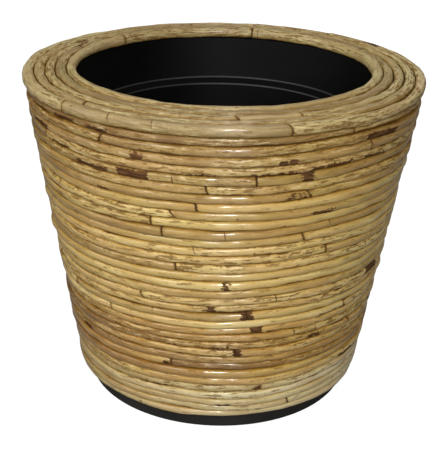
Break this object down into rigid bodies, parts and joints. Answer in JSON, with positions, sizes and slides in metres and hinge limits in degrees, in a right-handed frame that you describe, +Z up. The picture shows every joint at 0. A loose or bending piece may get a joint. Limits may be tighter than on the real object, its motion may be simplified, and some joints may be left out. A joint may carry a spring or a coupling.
{
  "type": "rattan planter",
  "caption": "Round tapered planter: courses of lacquered rattan cane pinned round a black moulded tub, with a rim of five cane rings and a black brimmed inner pot.",
  "frame": {"origin": "middle of the tub's flat underside, on the planter's axis, at floor level", "axes": "+Z up along the planter's axis"},
  "size_m": [0.4, 0.4, 0.3394],
  "materials": {
    "black_plastic": "moulded black plastic with a satin face",
    "rattan_rim": "greyish tan rattan cane with a satin lacquer",
    "rattan_grey": "grey-tan rattan cane with brown bark patches and a satin lacquer",
    "rattan_straw": "golden straw rattan cane with a satin lacquer",
    "rattan_brown": "orange-brown rattan cane with a satin lacquer",
    "rattan_pale": "pale straw rattan cane with a satin lacquer",
    "pin_steel": "dull dark steel brads"
  },
  "bodies": {
    "root": {"tub": "black_plastic", "inner_pot": "black_plastic", "wall_cane_01": "rattan_grey", "wall_cane_02": "rattan_grey", "wall_cane_03": "rattan_grey", "wall_cane_04": "rattan_grey", "wall_cane_05": "rattan_straw", "wall_cane_06": "rattan_straw", "wall_cane_07": "rattan_straw", "wall_cane_08": "rattan_straw", "wall_cane_09": "rattan_straw", "wall_cane_10": "rattan_straw", "wall_cane_11": "rattan_straw", "wall_cane_12": "rattan_straw", "wall_cane_13": "rattan_straw", "wall_cane_14": "rattan_straw", "wall_cane_15": "rattan_straw", "wall_cane_16": "rattan_straw", "wall_cane_17": "rattan_straw", "wall_cane_18": "rattan_straw", "wall_cane_19": "rattan_straw", "wall_cane_20": "rattan_straw", "wall_cane_21": "rattan_straw", "wall_cane_22": "rattan_straw", "wall_cane_23": "rattan_brown", "wall_cane_24": "rattan_brown", "wall_cane_25": "rattan_brown", "wall_cane_26": "rattan_brown", "wall_cane_27": "rattan_brown", "wall_cane_28": "rattan_brown", "wall_cane_29": "rattan_brown", "wall_cane_30": "rattan_brown", "wall_cane_31": "rattan_pale", "wall_cane_32": "rattan_pale", "wall_cane_33": "rattan_pale", "wall_cane_34": "rattan_pale", "wall_cane_35": "rattan_pale", "rim_cane_1": "rattan_rim", "rim_cane_2": "rattan_rim", "rim_cane_3": "rattan_rim", "rim_cane_4": "rattan_rim", "rim_cane_5": "rattan_rim", "wall_pins": "pin_steel", "rim_pins": "pin_steel"}
  },
  "joints": []
}
